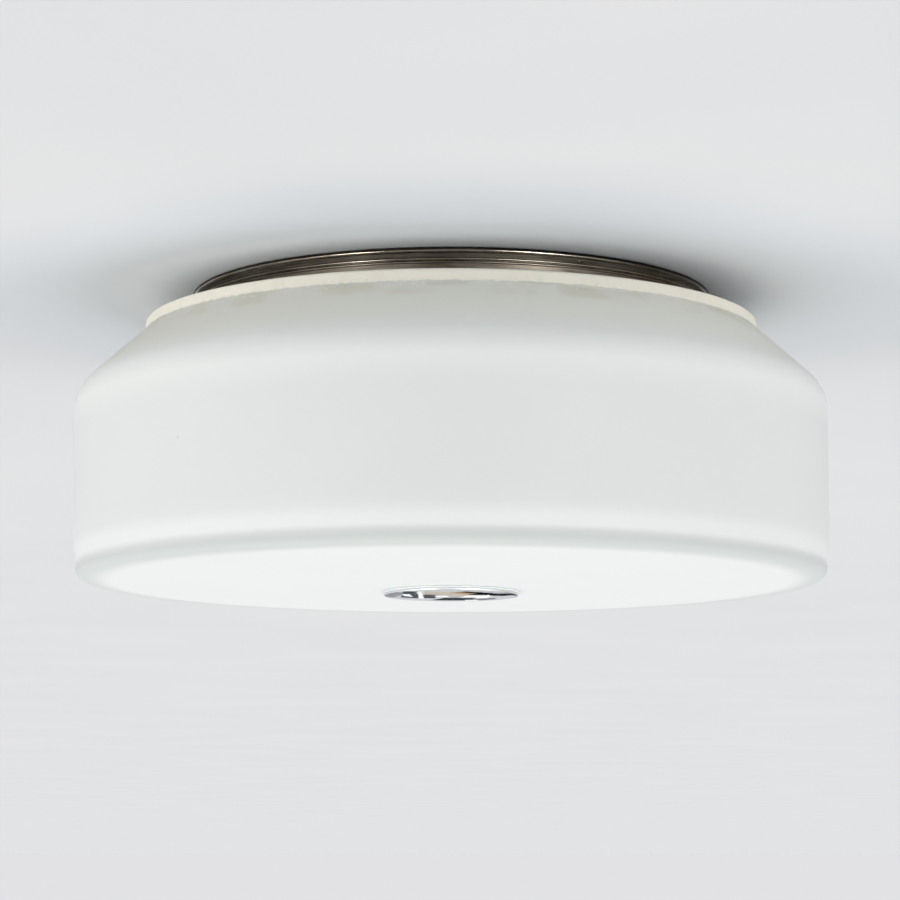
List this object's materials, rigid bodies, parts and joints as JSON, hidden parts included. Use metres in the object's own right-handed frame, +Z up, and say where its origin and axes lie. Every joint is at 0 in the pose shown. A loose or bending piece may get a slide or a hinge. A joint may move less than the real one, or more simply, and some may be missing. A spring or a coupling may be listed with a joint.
{
  "type": "flush mount ceiling light",
  "caption": "Round drum-shaped opal glass ceiling light clamped under a ridged metal canopy by a centre rod and a chrome cap, with lampholders, bulbs and wiring inside.",
  "frame": {"origin": "on the lamp's vertical axis at the ceiling, at the centre of the mounting bar's upper face level", "axes": "+Z up, out of the ceiling side; +Y along the mounting bar; the lamp hangs towards -Z"},
  "size_m": [0.3499, 0.35, 0.1415],
  "materials": {
    "nickel": "dark nickel plate, turned, slightly stained",
    "white_paint": "satin white stove enamel",
    "opal_glass": "satin etched opal, opaque white",
    "zinc_steel": "zinc plated",
    "bright_steel": "bright drawn tube",
    "gasket_rubber": "pale soft rubber",
    "chrome": "polished",
    "brass": "plain brass",
    "block_plastic": "off-white moulding",
    "tin": "tinned",
    "grommet_rubber": "black rubber",
    "brown_lead": "insulated lead",
    "blue_lead": "insulated lead",
    "earth_lead": "insulated lead",
    "clip_plastic": "natural nylon",
    "porcelain": "white glaze",
    "frosted_glass": "frosted inside",
    "bulb_metal": "pressed cap",
    "bulb_black": "black glass insulator"
  },
  "bodies": {
    "fixture": {"canopy": "nickel", "reflector_plate": "white_paint", "mounting_bar": "zinc_steel", "centre_rod": "bright_steel", "rod_nuts": "zinc_steel", "canopy_washer": "zinc_steel", "canopy_nut": "zinc_steel", "bracket_screws": "zinc_steel", "bracket_nuts": "zinc_steel", "holder_screws": "zinc_steel", "terminal_screws": "brass", "terminal_block": "block_plastic", "block_inserts": "brass", "clamp_screws": "zinc_steel", "block_screws": "zinc_steel", "block_nuts": "zinc_steel", "earth_ring": "tin", "earth_screw": "brass", "earth_nut": "brass", "grommet": "grommet_rubber", "live_leads": "brown_lead", "neutral_leads": "blue_lead", "earth_lead": "earth_lead", "lead_clip": "clip_plastic", "lampholder_a": "porcelain", "screw_shell_a": "brass", "contact_tongue_a": "brass", "lampholder_bracket_a": "zinc_steel", "lampholder_b": "porcelain", "screw_shell_b": "brass", "contact_tongue_b": "brass", "lampholder_bracket_b": "zinc_steel"},
    "shade": {"glass_shade": "opal_glass"},
    "gasket": {"cap_gasket": "gasket_rubber"},
    "cap": {"cap": "chrome"},
    "bulb_a": {"bulb_glass_a": "frosted_glass", "bulb_base_a": "bulb_metal", "bulb_insulator_a": "bulb_black", "bulb_contact_a": "tin"},
    "bulb_b": {"bulb_glass_b": "frosted_glass", "bulb_base_b": "bulb_metal", "bulb_insulator_b": "bulb_black", "bulb_contact_b": "tin"}
  },
  "joints": [
    {"name": "shade_lower", "type": "slide", "parent": "fixture", "child": "shade", "axis": [0, 0, -1], "range_m": [0, 0.14]},
    {"name": "gasket_drop", "type": "slide", "parent": "shade", "child": "gasket", "axis": [0, 0, -1], "range_m": [0, 0.0095]},
    {"name": "cap_unscrew", "type": "hinge", "parent": "gasket", "child": "cap", "pos_m": [0, 0, -0.14], "axis": [0, 0, -1], "range_deg": [0, 3240]},
    {"name": "bulb_a_out", "type": "slide", "parent": "fixture", "child": "bulb_a", "axis": [1, 0, 0], "range_m": [0, 0.028]},
    {"name": "bulb_b_out", "type": "slide", "parent": "fixture", "child": "bulb_b", "axis": [-1, 0, 0], "range_m": [0, 0.028]}
  ],
  "couplings": [
    {"joint": "gasket_drop", "follows": "cap_unscrew", "m_per_rad": 0.00015915}
  ]
}
